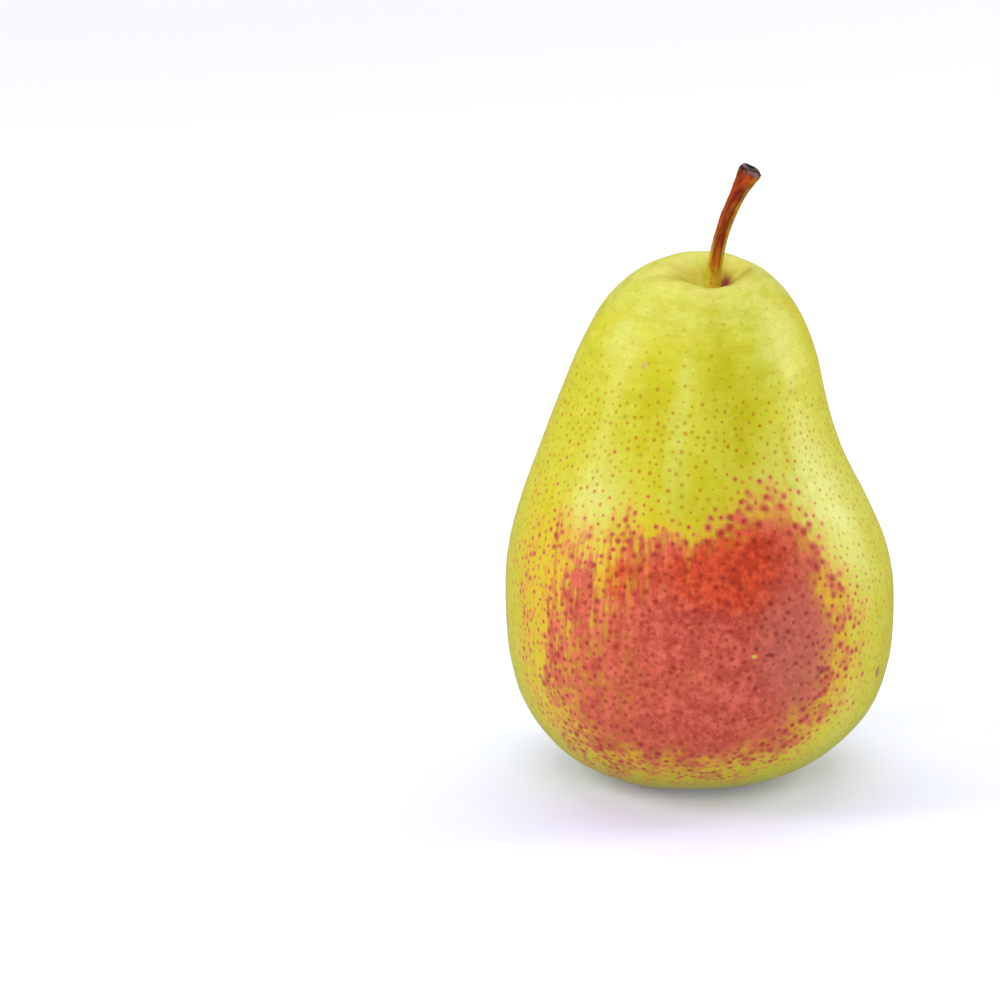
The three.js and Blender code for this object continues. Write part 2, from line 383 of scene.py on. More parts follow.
skinColour = {
    # patches of blush: angle, height, their half widths, and strength; the front is at -90
    "blush": [
        (-97, 35, 19, 9.5, 0.56),
        (-67, 45, 15, 8.7, 0.64),
        (-124, 42, 38, 14.6, 0.41),
        (-89, 15.5, 24, 8.0, 0.74),
        (-63, 29, 21, 12, 0.8),
        (-127, 19, 23, 15.6, 0.59),
        (-93, 46, 18, 4, 0.32),
        (-63, 51, 7, 5, 0.2),
        (-109, 44, 8, 4, 0.1),
        (-92, 54, 13, 5, -0.3),
        # less blush here: a painted highlight on the belly's left side
        (-130, 52, 14, 6, -0.2),
    ],
    "deep": [(-77, 43.5, 13, 6, 1.0), (-92, 43, 16, 4, 0.55), (-117, 42, 6, 3.5, 0.6)],
    "plum": [(-62, 31, 13, 12, 1.0)],
    "streaks": [(-144, 38, 14, 17, 1.0), (-118, 44, 14, 12, 0.7), (-97, 47, 10, 6, 0.7)],
    # pale patches: mostly painted highlights where the lamps' glare falls on the neck and belly, partly
    # paler skin
    "paleAndHighlight": [(-142, 80, 11, 6, 1.0), (-98, 66, 3.5, 14, 0.8), (-46, 56, 11, 8, 0.9), (-50, 79, 9, 6, 0.7),
             (-128, 53, 11, 6, 0.9), (-64, 55, 9, 6, 0.5), (-28, 50, 13, 9, 0.9), (-12, 85, 16, 4, 0.9),
             (-34, 34, 9, 10, 0.5), (-42, 17, 9, 6, 0.4), (-136, 18, 10, 8, 0.4)],
    # olive patches: olive skin, and partly painted shade that darkens the neck's bands, the right shoulder
    # and the left lamp's glare
    "oliveAndShade": [(-82, 78, 6, 6, 1.0), (-12, 62, 14, 26, 0.4), (-72, 66, 8, 8, 1.0), (-111, 69, 8, 8, 0.8),
              (-90, 54, 10, 5, 1.0), (-160, 40, 14, 30, 0.5), (-15, 24, 20, 18, 0.8),
              (-165, 74, 14, 12, 0.3), (-8, 78, 12, 8, 0.8), (-132, 66, 11, 7, 0.6)],
    "spots": [  # centre, size, strength, colour
        ((7.6, -32.0, 29.5), (0.5, 1.0, 0.4), 0.9, (212, 190, 60)),
        ((8.1, -31.9, 30.8), (0.5, 1.0, 0.4), 0.6, (96, 34, 48)),
        ((10.3, -31.4, 29.6), (0.9, 1.2, 0.4), 0.75, (120, 26, 30)),
        ((19.2, -26.8, 25.7), (1.1, 1.4, 0.9), 0.6, (140, 50, 62)),
        ((15.2, -29.8, 23.6), (0.7, 1.0, 0.6), 0.6, (222, 136, 96)),
        ((29.3, -13.6, 21.5), (0.5, 1.2, 1.3), 0.75, (150, 74, 70)),
        ((-10.3, -15.3, 74.6), (0.5, 0.7, 0.8), 0.4, (186, 136, 124)),
    ],
    "crown": {"above": 75, "paleAndHighlight": 0.7, "height": (79, 85), "radius": (3, 7)},
    # painted shade in the hollow round the stalk
    "stalkRimShade": (1.6, 2.4, 0.8),  # brown from the first radius to the second, and how much
    # painted shade in the folds round the stalk: radius, width, angle, span and strength
    "creases": [(4.2, 2.0, 3.0, 0.6, 0.28), (2.8, 1.5, 0.75, 0.4, 1.6)],
    "russet": {"crown": 0.3, "crownHeight": (80, 84), "crownRadius": (3, 12),
               "footHeight": (0, 12), "footRadius": (4, 13)},
    # painted shade near the floor
    "under": {"height": (1, 15), "share": 0.8},  # darker yellow near the floor
    "lime": {"all": 0.25, "neck": 0.5, "neckFrom": 55, "neckTo": 86, "neckSide": math.radians(20),
             "foot": 0.35, "footFrom": 4, "footTo": 22,
             "edges": 0.4, "front": math.radians(-90), "span": 1.1},
}


skinTints = {  # screen colours of 0 to 255: the ground, then the blush, then the pores
    "yellow": (212, 200, 22),
    "lime": (200, 204, 56),
    "cream": (220, 220, 80),
    # painted shade near the floor
    "foot": (172, 180, 0),
    "paleHighlightBand": (216, 222, 126),
    "oliveShadeBand": (190, 180, 6),
    "creamFleck": (222, 218, 80),
    "oliveClot": (198, 192, 14),
    "oliveGrain": (190, 186, 10),
    "faintStreak": (190, 178, 0),
    "wave": (188, 180, 10),
    "russet": (205, 150, 50),
    "crease": (132, 64, 40),
    "gold": (222, 186, 12),
    "salmonDark": (182, 42, 50),
    "salmonLight": (226, 98, 84),
    "salmonClot": (180, 46, 52),
    "salmonShadeBelow": (164, 46, 44),
    "redDark": (190, 26, 18),
    "redLight": (224, 62, 34),
    "redClot": (166, 8, 10),
    "plum": (180, 98, 92),
    "thinBlush": (240, 110, 48),
    "pepper": (226, 122, 88),
    "smudge": (140, 10, 14),
    "neckDot": (146, 112, 0),
    "bodyDot": (186, 88, 10),
    "crimsonDot": (196, 34, 84),
    "wineDot": (136, 12, 26),
}


skinSizes = {  # widths of the blotches in millimetres
    "broad": 11.0,
    "blotch": 3.4,
    "mottle": 2.0,
    "clot": 1.3,
    "fleck": 0.75,
    "grain": 0.45,
    "streak": 1.5,
    "thread": 0.42,
    "wavy": 1.2,
    "streakStretch": 0.11,  # how much less it changes along the fruit than round it
    "waveStretch": 0.2,  # the other way about
    "shakeScale": 3000.0,
    "shake": 0.0003,  # metres by which the pores' edges are moved
}


skinSteps = {  # from where to where a colour comes in, and its share at both ends if not 0 and 1
    "poreDot": (0.3, 1.35, 1.0, 0.0),
    "poreRing": (0.8, 2.7, 1.0, 0.0),
    "dotTone": (0.0, 1.0, 0.65, 1.0),
    "ringTone": (0.0, 1.0, 0.3, 1.0),
    "smudge": (0.1, 2.2, 1.0, 0.0),
    "cream": (0.4, 0.65, 0.0, 0.5),
    "paleHighlightBand": (0.2, 0.6, 0.35, 0.75),
    "oliveShadeBand": (0.35, 0.75, 0.9, 0.4),
    "creamFleck": (0.35, 0.7, 0.0, 0.3),
    "oliveClot": (0.5, 0.68, 0.0, 0.35),
    "oliveGrain": (0.45, 0.7, 0.0, 0.25),
    "belowNeck": (0.062, 0.078, 1.0, 0.2),
    "faintStreak": (0.48, 0.72, 0.0, 0.35),
    "wave": (0.42, 0.7, 0.0, 0.4),
    "aboveBelly": (0.05, 0.07),
    "russet": (0.3, 0.65),
    "crease": (0.2, 0.6, 0.5, 0.85),
    "goldRim": (0.04, 0.4),
    "goldInside": (0.34, 0.75, 0.0, 0.5),
    "lines": (0.0, 0.2),
    "cover": (0.1, 1.0),
    "salmon": (0.3, 0.7),
    "salmonClot": (0.45, 0.64, 0.0, 0.65),
    "salmonShadeBelow": (0.03, 0.008, 0.0, 0.35),
    "red": (0.35, 0.65),
    "redClot": (0.48, 0.62, 0.0, 0.6),
    "deep": (0.12, 0.8, 0.0, 0.85),
    "plum": (0.2, 0.9, 0.0, 0.5),
    "thinBlush": (0.75, 0.15, 0.0, 0.75),
    "neckDot": (0.054, 0.078, 0.03, 0.16),
    "bodyDot": (-0.2, 0.02),
    "crimsonDot": (0.08, 0.26),
    "wineDot": (0.5, 1.0),
    "fainterUp": (0.068, 0.084, 1.0, 0.45),
    "nearBlush": (-0.1, 0.3, 0.66, 0.9),
    "fainterDown": (0.012, 0.036, 0.65, 1.0),
    "covered": (0.6, 1.0, 1.0, 0.34),
    "pepper": (0.48, 0.72),
    "spot": (0.5, 1.2),
}


skinFinish = {
    "specular": 0.25,
    "underSkin": 0.08,  # share of the light that goes into the flesh
    "underSkinRadius": (1.0, 0.5, 0.1),
    "underSkinScale": 0.0012,
    "roughness": (0.3, 0.4),
    "poreDepth": 0.03,  # millimetres, as the next one
    "fleckDepth": 0.03,
}


pores = {
    "seed": 7,
    "cell": 4.4,  # side of the cells they are looked up in, wider than any spacing
    "clear": 2.8,  # none nearer to the axis than this
    "spacingSpread": (0.6, 1.35),
    "sizeSpread": (0.6, 1.4),
    "cheek": {"turn": math.radians(-72), "span": 0.6},  # they are largest here
    "foot": {"radius": 30, "height": 12, "fade": 2, "spacing": (1.0, 0.5), "size": (0.19, 0.07)},
    "crown": {"radius": 12, "height": 80, "spacing": 2.7, "size": 0.17},
    "spacing": {"all": 1.6, "cheek": 0.75, "cheekHeight": 49, "cheekTall": 9,
                "neck": 1.5, "from": 66, "to": 80},
    "size": {"all": 0.26, "cheek": 0.14, "cheekHeight": 44, "cheekTall": 11,
             "neck": 0.04, "neckHeight": 62, "neckTall": 10},
}


def field(patches, angle, height):
    # the patches added up; each has its strength in the middle and half of it at its half widths
    total = 0.0
    for turn, level, wide, tall, strength in patches:
        across = math.degrees(turnBetween(angle, math.radians(turn))) / wide
        total += strength * 0.5 ** (across ** 2 + ((height - level) / tall) ** 2)
    return min(total, 1.0)


def limeShare(height, angle):
    rule = skinColour["lime"]
    side = 0.5 + 0.5 * math.cos(angle - rule["neckSide"])
    share = rule["all"] + rule["neck"] * smoothStep(height, rule["neckFrom"], rule["neckTo"]) * side
    share += rule["foot"] * (1 - smoothStep(height, rule["footFrom"], rule["footTo"]))
    return share + rule["edges"] * (1 - hump(turnBetween(angle, rule["front"]), 0, rule["span"]))


def creaseShadeShare(radius, angle):
    # how much painted shade darkens the skin round the stalk, in its hole and its folds
    inner, outer, most = skinColour["stalkRimShade"]
    shares = [most * (1 - smoothStep(radius, inner, outer))]
    for middle, width, turn, span, strength in skinColour["creases"]:
        shares.append(strength * hump(radius, middle, width) * hump(turnBetween(angle, turn), 0, span))
    return max(shares)


def russetShare(radius, height):
    rule = skinColour["russet"]
    crown = smoothStep(height, *rule["crownHeight"]) * (1 - smoothStep(radius, *rule["crownRadius"]))
    foot = (1 - smoothStep(height, *rule["footHeight"])) * (1 - smoothStep(radius, *rule["footRadius"]))
    return max(crown * rule["crown"], foot)


def poreRule(radius, height, angle):
    # spacing of the pores and their radius, by where they are on the fruit
    foot, crown, gap, wide = pores["foot"], pores["crown"], pores["spacing"], pores["size"]
    if height < foot["height"] and radius < foot["radius"]:
        up = smoothStep(height, foot["fade"], foot["height"])
        return foot["spacing"][0] + foot["spacing"][1] * up, foot["size"][0] + foot["size"][1] * up
    if height > crown["height"] and radius < crown["radius"]:
        return crown["spacing"], crown["size"]
    cheek = hump(turnBetween(angle, pores["cheek"]["turn"]), 0, pores["cheek"]["span"])
    spacing = gap["all"] + gap["cheek"] * hump(height, gap["cheekHeight"], gap["cheekTall"]) * cheek
    spacing += gap["neck"] * smoothStep(height, gap["from"], gap["to"])
    size = wide["all"] + wide["cheek"] * hump(height, wide["cheekHeight"], wide["cheekTall"]) * cheek
    size += wide["neck"] * hump(height, wide["neckHeight"], wide["neckTall"])
    return spacing, size


def scatterPores(mesh, skin):
    # random places along and round the outline, so that they don't depend on the mesh's order;
    # none is nearer to another than its spacing
    rng = random.Random(pores["seed"])
    cell, segments = pores["cell"] * mm, fruitShape["segments"]
    order = [(row, turn) for row in range(len(skin) - 1) for turn in range(segments)]
    rng.shuffle(order)
    grid, places, sizes = {}, [], []
    for row, turn in order:
        share, angle = rng.random(), 2 * math.pi * (turn + rng.random()) / segments
        radius, height = (a + (b - a) * share for a, b in zip(skin[row], skin[row + 1]))
        if radius < pores["clear"]:
            continue
        spacing, size = poreRule(radius, height, angle)
        place = skinPoint(radius, height, angle) * mm
        spacing *= mm * rng.uniform(*pores["spacingSpread"])
        key = tuple(int(math.floor(c / cell)) for c in place)
        near = (p for dx in (-1, 0, 1) for dy in (-1, 0, 1) for dz in (-1, 0, 1)
                for p in grid.get((key[0] + dx, key[1] + dy, key[2] + dz), ()))
        if any((place - p).length < spacing for p in near):
            continue
        grid.setdefault(key, []).append(place)
        places.append(place)
        sizes.append(size * mm * rng.uniform(*pores["sizeSpread"]))
    print("pores", len(places))
    tree = kdtree.KDTree(len(places))
    for i, place in enumerate(places):
        tree.insert(place, i)
    tree.balance()
    strengths = [rng.random() for place in places]
    nearest, radii, tones = [[], [], []], [], []
    for face in mesh.polygons:
        found = tree.find_n(face.center, 3)
        for k in range(3):
            nearest[k].append(found[k][0])
        radii.append([sizes[found[k][1]] for k in range(3)])
        tones.append([strengths[found[k][1]] for k in range(3)])
    for k, letter in enumerate("ABC"):
        storeValues(mesh, "pore" + letter, "FLOAT_VECTOR", "FACE", nearest[k])
    storeValues(mesh, "poreRadii", "FLOAT_VECTOR", "FACE", radii)
    storeValues(mesh, "poreTones", "FLOAT_VECTOR", "FACE", tones)


def skinMaterial():
    w = Wiring("waxySkin")
    shade = {name: tint(*rgb) for name, rgb in skinTints.items()}
    size, step, finish = skinSizes, skinSteps, skinFinish
    place, meridian = w.place(), w.stored("meridian", "Vector")
    flush, ground = w.split(w.stored("flush", "Vector")), w.split(w.stored("ground", "Vector"))
    blush, deep, plum = flush[0], flush[1], flush[2]
    green, russet, low = ground[0], ground[1], ground[2]
    bands = w.split(w.stored("bands", "Vector"))
    paleAndHighlight, oliveAndShade, crease = bands[0], bands[1], bands[2]
    height = w.split(place)[2]
    upright = w.node("ShaderNodeMapping", {"Vector": meridian, "Scale": (1, 1, size["streakStretch"])})
    lying = (size["waveStretch"], size["waveStretch"], 1)
    level = w.node("ShaderNodeMapping", {"Vector": meridian, "Scale": lying})
    broad, blotch = w.noise(place, size["broad"]), w.noise(place, size["blotch"], 3.0)
    mottle, clot = w.noise(place, size["mottle"], 4.0, 0.6), w.noise(place, size["clot"], 2.0)
    fleck, grain = w.noise(place, size["fleck"], 3.0, 0.6), w.noise(place, size["grain"], 3.0, 0.6)
    streak, thread = w.noise(upright, size["streak"], 3.0, 0.6), w.noise(upright, size["thread"], 2.0)
    wavy = w.noise(level, size["wavy"], 3.0, 0.6)

    # the pores: soft dots, each with a ring of stronger colour round it
    shaking = {"Vector": place, "Scale": size["shakeScale"], "Detail": 1.0}
    shake = w.node("ShaderNodeTexNoise", shaking, out="Color")
    shake = w.vectors("SCALE", w.vectors("SUBTRACT", shake, (0.5, 0.5, 0.5)), scale=size["shake"])
    shaken = w.vectors("ADD", place, shake)
    radii, tones = w.split(w.stored("poreRadii", "Vector")), w.split(w.stored("poreTones", "Vector"))
    dot = ring = smudge = None
    for k, letter in enumerate("ABC"):
        gap = w.vectors("DISTANCE", shaken, w.stored("pore" + letter, "Vector"), out="Value")
        share = w.sums("DIVIDE", gap, radii[k])
        near, around = w.ramp(share, *step["poreDot"]), w.ramp(share, *step["poreRing"])
        near = w.sums("MULTIPLY", near, w.ramp(tones[k], *step["dotTone"]))
        around = w.sums("MULTIPLY", around, w.ramp(tones[k], *step["ringTone"]))
        dull = w.sums("MULTIPLY", w.ramp(share, *step["smudge"]), tones[k])
        dot = near if dot is None else w.sums("MAXIMUM", dot, near)
        ring = around if ring is None else w.sums("MAXIMUM", ring, around)
        smudge = dull if smudge is None else w.sums("MAXIMUM", smudge, dull)

    def swing(value, amount):
        return w.sums("MULTIPLY", w.sums("SUBTRACT", value, 0.5), amount)

    # the ground: yellow to lime, with pale bands, mostly painted highlights, and olive bands, partly
    # painted shade, down the neck
    limed = w.sums("ADD", green, w.sums("ADD", swing(broad, 1.0), swing(blotch, 0.5)), clamp=True)
    skin = w.mix(limed, shade["yellow"], shade["lime"])
    skin = w.mix(w.ramp(mottle, *step["cream"]), skin, shade["cream"])
    # painted shade: the ground darker towards the floor
    skin = w.mix(low, skin, shade["foot"])
    paleAndHighlight = w.sums("MULTIPLY", paleAndHighlight, w.ramp(blotch, *step["paleHighlightBand"]))
    oliveAndShade = w.sums("MULTIPLY", oliveAndShade, w.ramp(blotch, *step["oliveShadeBand"]))
    skin = w.mix(oliveAndShade, w.mix(paleAndHighlight, skin, shade["paleHighlightBand"]), shade["oliveShadeBand"])
    skin = w.mix(w.ramp(fleck, *step["creamFleck"]), skin, shade["creamFleck"])
    skin = w.mix(w.ramp(clot, *step["oliveClot"]), skin, shade["oliveClot"])
    skin = w.mix(w.ramp(grain, *step["oliveGrain"]), skin, shade["oliveGrain"])
    belowNeck = w.ramp(height, *step["belowNeck"])
    faint = w.sums("MULTIPLY", w.ramp(streak, *step["faintStreak"]), belowNeck)
    skin = w.mix(faint, skin, shade["faintStreak"])
    waves = w.sums("MULTIPLY", w.ramp(wavy, *step["wave"]), w.ramp(height, *step["aboveBelly"]))
    skin = w.mix(waves, skin, shade["wave"])
    skin = w.mix(w.sums("MULTIPLY", russet, w.ramp(blotch, *step["russet"])), skin, shade["russet"])
    # painted shade in the stalk's hole and the folds beside it
    crease = w.sums("MULTIPLY", crease, w.ramp(fleck, *step["crease"]), clamp=True)
    skin = w.mix(crease, skin, shade["crease"])
    streaked = w.stored("streaked")
    gold = w.sums("MULTIPLY", w.ramp(blush, *step["goldRim"]), w.sums("MULTIPLY_ADD", streaked, 0.36, 0.08))
    skin = w.mix(w.sums("MAXIMUM", gold, w.ramp(blush, *step["goldInside"])), skin, shade["gold"])

    # the blush: it thins out into streaks and flecks, and it gathers round the pores
    edge = w.sums("MULTIPLY", w.sums("MULTIPLY", blush, w.sums("SUBTRACT", 1.0, blush)), 4.0)
    lines = w.sums("MULTIPLY", w.sums("ADD", swing(streak, 1.0), swing(thread, 1.3)), streaked)
    lines = w.sums("MULTIPLY", lines, w.ramp(blush, *step["lines"]))
    ragged = w.sums("ADD", w.sums("ADD", swing(mottle, 1.2), swing(fleck, 1.1)), swing(blotch, 0.5))
    ragged = w.sums("MULTIPLY", w.sums("ADD", ragged, w.sums("MULTIPLY", ring, 0.34)), edge)
    cover = w.ramp(w.sums("ADD", blush, w.sums("ADD", lines, ragged)), *step["cover"])
    salmon = w.mix(w.ramp(fleck, *step["salmon"]), shade["salmonDark"], shade["salmonLight"])
    salmon = w.mix(w.ramp(clot, *step["salmonClot"]), salmon, shade["salmonClot"])
    # painted shade: the blush darker towards the floor
    salmon = w.mix(w.ramp(height, *step["salmonShadeBelow"]), salmon, shade["salmonShadeBelow"])
    red = w.mix(w.ramp(fleck, *step["red"]), shade["redDark"], shade["redLight"])
    red = w.mix(w.ramp(clot, *step["redClot"]), red, shade["redClot"])
    blushed = w.mix(w.ramp(deep, *step["deep"]), salmon, red)
    blushed = w.mix(w.ramp(plum, *step["plum"]), blushed, shade["plum"])
    blushed = w.mix(w.ramp(cover, *step["thinBlush"]), blushed, shade["thinBlush"])
    pepper = w.sums("SUBTRACT", 0.4, w.sums("MULTIPLY", deep, 0.12))
    blushed = w.mix(w.ramp(grain, *step["pepper"], 0.0, pepper), blushed, shade["pepper"])
    blushed = w.mix(w.sums("MULTIPLY", smudge, 0.6), blushed, shade["smudge"])
    skin = w.mix(w.sums("MULTIPLY", cover, 0.95), skin, blushed)

    # what colour the pores have: olive up on the neck, crimson near the blush and wine inside it
    near = w.sums("SUBTRACT", blush, w.ramp(height, *step["neckDot"]))
    near = w.sums("ADD", near, w.sums("ADD", swing(broad, 0.2), swing(tones[0], 0.24)))
    dotTint = w.mix(w.ramp(near, *step["bodyDot"]), shade["neckDot"], shade["bodyDot"])
    dotTint = w.mix(w.ramp(near, *step["crimsonDot"]), dotTint, shade["crimsonDot"])
    dotTint = w.mix(w.ramp(cover, *step["wineDot"]), dotTint, shade["wineDot"])
    faded = w.ramp(height, *step["fainterUp"])
    strength = w.sums("MULTIPLY", w.ramp(near, *step["nearBlush"]), faded)
    strength = w.sums("MULTIPLY", strength, w.ramp(height, *step["fainterDown"]))
    covered = w.ramp(cover, *step["covered"])
    inside = w.sums("MULTIPLY_ADD", w.sums("ADD", deep, plum), 0.16, covered, clamp=True)
    strength = w.sums("MULTIPLY", strength, inside)
    skin = w.mix(w.sums("MULTIPLY", dot, strength), skin, dotTint)
    for centre, reach, strong, rgb in skinColour["spots"]:
        gap = w.vectors("SUBTRACT", shaken, tuple(c * mm for c in centre))
        gap = w.vectors("LENGTH", w.vectors("DIVIDE", gap, tuple(c * mm for c in reach)), out="Value")
        gap = w.sums("ADD", gap, swing(grain, 1.0))
        skin = w.mix(w.ramp(gap, *step["spot"], strong, 0.0), skin, tint(*rgb))
    w.put(w.shader.inputs["Base Color"], skin)

    w.shader.inputs["Specular IOR Level"].default_value = finish["specular"]
    w.shader.inputs["Subsurface Weight"].default_value = finish["underSkin"]
    w.shader.inputs["Subsurface Radius"].default_value = finish["underSkinRadius"]
    w.shader.inputs["Subsurface Scale"].default_value = finish["underSkinScale"]
    w.put(w.shader.inputs["Roughness"], w.ramp(fleck, 0.2, 0.8, *finish["roughness"]))
    pitted = w.bump(dot, finish["poreDepth"])
    w.put(w.shader.inputs["Normal"], w.bump(fleck, finish["fleckDepth"], pitted))
    return w.material


def makeFruit():
    shape = fruitShape
    wide, tall = shape["bellyRadius"], shape["crownHeight"]
    stations = [(r * wide, h * tall, 0) for r, h in shape["outline"]]
    stations[0] = (shape["recessRadius"], stations[0][1], 0)
    stations[-1] = (shape["holeRadius"], stations[-1][1], 0)
    skin = [(p.x, p.y) for p in splinePoints(stations, shape["rows"])]
    recessTop, holeBottom = skin[0][1] + shape["recessDepth"], skin[-1][1] - shape["holeDepth"]
    basin = [(0, recessTop), (shape["recessRadius"], recessTop)]
    hole = [(shape["holeRadius"], holeBottom), (0, holeBottom)]
    bm = lathe(basin + skin + hole, shape["segments"])
    born = []
    for vert in bm.verts:
        x, y, height = vert.co
        radius, angle = math.hypot(x, y), math.atan2(y, x)
        born.append((radius, height, angle))
        vert.co = skinPoint(radius, height, angle)
    fruit = makePiece("fruitSkin", bm, skinMaterial(), "fruit")
    mesh = fruit.data
    flush, ground, bands, streaked, meridian = [], [], [], [], []
    for radius, height, angle in born:
        meridian.append((wide * mm * math.cos(angle), wide * mm * math.sin(angle), (height - radius) * mm))
        paleAndHighlight, oliveAndShade = [field(skinColour[key], angle, height) for key in ("paleAndHighlight", "oliveAndShade")]
        crease = 0.0
        crown = skinColour["crown"]
        if height > crown["above"]:
            # the crown paler towards the top: paler skin, partly a painted highlight
            rising = smoothStep(height, *crown["height"]) * smoothStep(radius, *crown["radius"])
            paleAndHighlight, crease = max(paleAndHighlight, crown["paleAndHighlight"] * rising), creaseShadeShare(radius, angle)
        under = skinColour["under"]["share"] * (1 - smoothStep(height, *skinColour["under"]["height"]))
        flush.append([field(skinColour[key], angle, height) for key in ("blush", "deep", "plum")])
        ground.append((limeShare(height, angle), russetShare(radius, height), under))
        bands.append((paleAndHighlight, oliveAndShade, crease))
        streaked.append(field(skinColour["streaks"], angle, height))
    storeValues(mesh, "flush", "FLOAT_VECTOR", "POINT", flush)
    storeValues(mesh, "ground", "FLOAT_VECTOR", "POINT", ground)
    storeValues(mesh, "bands", "FLOAT_VECTOR", "POINT", bands)
    storeValues(mesh, "streaked", "FLOAT", "POINT", streaked)
    storeValues(mesh, "meridian", "FLOAT_VECTOR", "POINT", meridian)
    scatterPores(mesh, skin)


# the stalk

stalkShape = {
    "line": [(1.4, 0, 79.48), (1.4, 0, 83.38), (1.9, 0, 88.4), (2.7, -0.1, 92.6), (4.0, -0.3, 96.8),
             (5.7, -0.7, 100.9), (7.7, -1.3, 105.0)],
    "foot": 1.4,
    "waist": 1.22,
    "knob": 1.95,
    "knobShare": 0.17,
    "ridges": 5,
    "ridgeHeight": 0.07,
    "ridgeStart": (0.25, 0.95),  # shares of the length, as the next ones
    "roughStart": (0.15, 0.3),
    "endStart": (0.972, 0.985),  # the dark broken end
    "scorchStart": (0.955, 0.99),  # the darkened rim round it
    "scorch": 0.75,
    "endRadius": 0.93,  # share of the knob's
    "length": 26,  # along the bend, near enough for the bark's grain
    "lineSteps": 400,
    "rough": [(0.05, 1.6), (0.03, 3.0)],  # share of the radius, and how fine
    "rows": 150,
    "segments": 64,
}


barkTints = {
    "brownDark": (100, 26, 4),
    "brownLight": (190, 86, 8),
    "red": (132, 12, 8),
    "ochreDark": (168, 104, 0),
    "ochreLight": (214, 180, 10),
    "foot": (212, 180, 60),
    "rim": (196, 190, 24),
    "flank": (178, 146, 16),
    "fleck": (96, 40, 14),
    "scarDark": (20, 8, 10),
    "scarGrey": (118, 100, 106),
}


barkSteps = {  # as in the skin's
    "brown": (0.35, 0.65),
    "red": (0.4, 1.6, 0.0, 0.6),
    "ochre": (0.35, 0.7),
    "ochreFoot": (0.42, 0.2),
    "ochreSide": (0.45, 1.0),
    "foot": (0.34, 0.2, 0.0, 0.85),
    "rim": (0.55, 0.9),
    "rimFoot": (0.6, 0.3),
    "rimPatches": (0.3, 0.6, 0.45, 0.95),
    "flank": (0.3, 0.8),
    "flankTop": (1.0, 0.85, 0.3, 0.9),
    "flankPatches": (0.35, 0.6, 0.3, 1.0),
    "fleck": (0.55, 0.8, 0.0, 0.5),
    "scar": (0.42, 0.6),
}


barkFinish = {
    "specular": 0.12,
    "roughness": 0.55,
    "streakStretch": 0.12,  # how much less the grain changes along the stalk than round it
    "streakDepth": 0.08,  # millimetres, as the next one
    "grainDepth": 0.03,
}


def stalkMaterial():
    w = Wiring("stalkBark")
    shade = {name: tint(*rgb) for name, rgb in barkTints.items()}
    step, finish = barkSteps, barkFinish
    grainPlace = w.stored("grain", "Vector")
    marks = w.split(w.stored("marks", "Vector"))
    along, side, scar = marks[0], marks[1], marks[2]
    stretch = (1, 1, finish["streakStretch"])
    upright = w.node("ShaderNodeMapping", {"Vector": grainPlace, "Scale": stretch})
    streak, blotch = w.noise(upright, 0.35, 3.0, 0.6), w.noise(grainPlace, 1.6, 2.0)
    grain, scarred = w.noise(grainPlace, 0.25, 2.0), w.noise(grainPlace, 0.9, 2.0)
    brown = w.mix(w.ramp(streak, *step["brown"]), shade["brownDark"], shade["brownLight"])
    brown = w.mix(w.ramp(w.sums("SUBTRACT", along, side), *step["red"]), brown, shade["red"])
    ochre = w.mix(w.ramp(streak, *step["ochre"]), shade["ochreDark"], shade["ochreLight"])
    low = w.sums("MULTIPLY", w.ramp(side, *step["ochreSide"]), 0.6)
    low = w.sums("ADD", w.ramp(along, *step["ochreFoot"]), low)
    low = w.sums("ADD", low, w.sums("MULTIPLY", w.sums("SUBTRACT", blotch, 0.5), 1.1), clamp=True)
    bark = w.mix(low, brown, ochre)
    bark = w.mix(w.ramp(along, *step["foot"]), bark, shade["foot"])
    rim = w.ramp(w.sums("ABSOLUTE", side), *step["rim"])
    rim = w.sums("MULTIPLY", rim, w.ramp(along, *step["rimFoot"]))
    bark = w.mix(w.sums("MULTIPLY", rim, w.ramp(blotch, *step["rimPatches"])), bark, shade["rim"])
    flank = w.sums("MULTIPLY", w.ramp(side, *step["flank"]), w.ramp(along, *step["flankTop"]))
    bark = w.mix(w.sums("MULTIPLY", flank, w.ramp(blotch, *step["flankPatches"])), bark, shade["flank"])
    bark = w.mix(w.ramp(grain, *step["fleck"]), bark, shade["fleck"])
    dark = w.mix(w.ramp(scarred, *step["scar"]), shade["scarDark"], shade["scarGrey"])
    scar = w.sums("ADD", scar, w.sums("MULTIPLY", w.sums("SUBTRACT", grain, 0.5), 0.4), clamp=True)
    bark = w.mix(scar, bark, dark)
    w.put(w.shader.inputs["Base Color"], bark)
    w.shader.inputs["Specular IOR Level"].default_value = finish["specular"]
    w.shader.inputs["Roughness"].default_value = finish["roughness"]
    grainy = w.bump(grain, finish["grainDepth"])
    w.put(w.shader.inputs["Normal"], w.bump(streak, finish["streakDepth"], grainy))
    return w.material


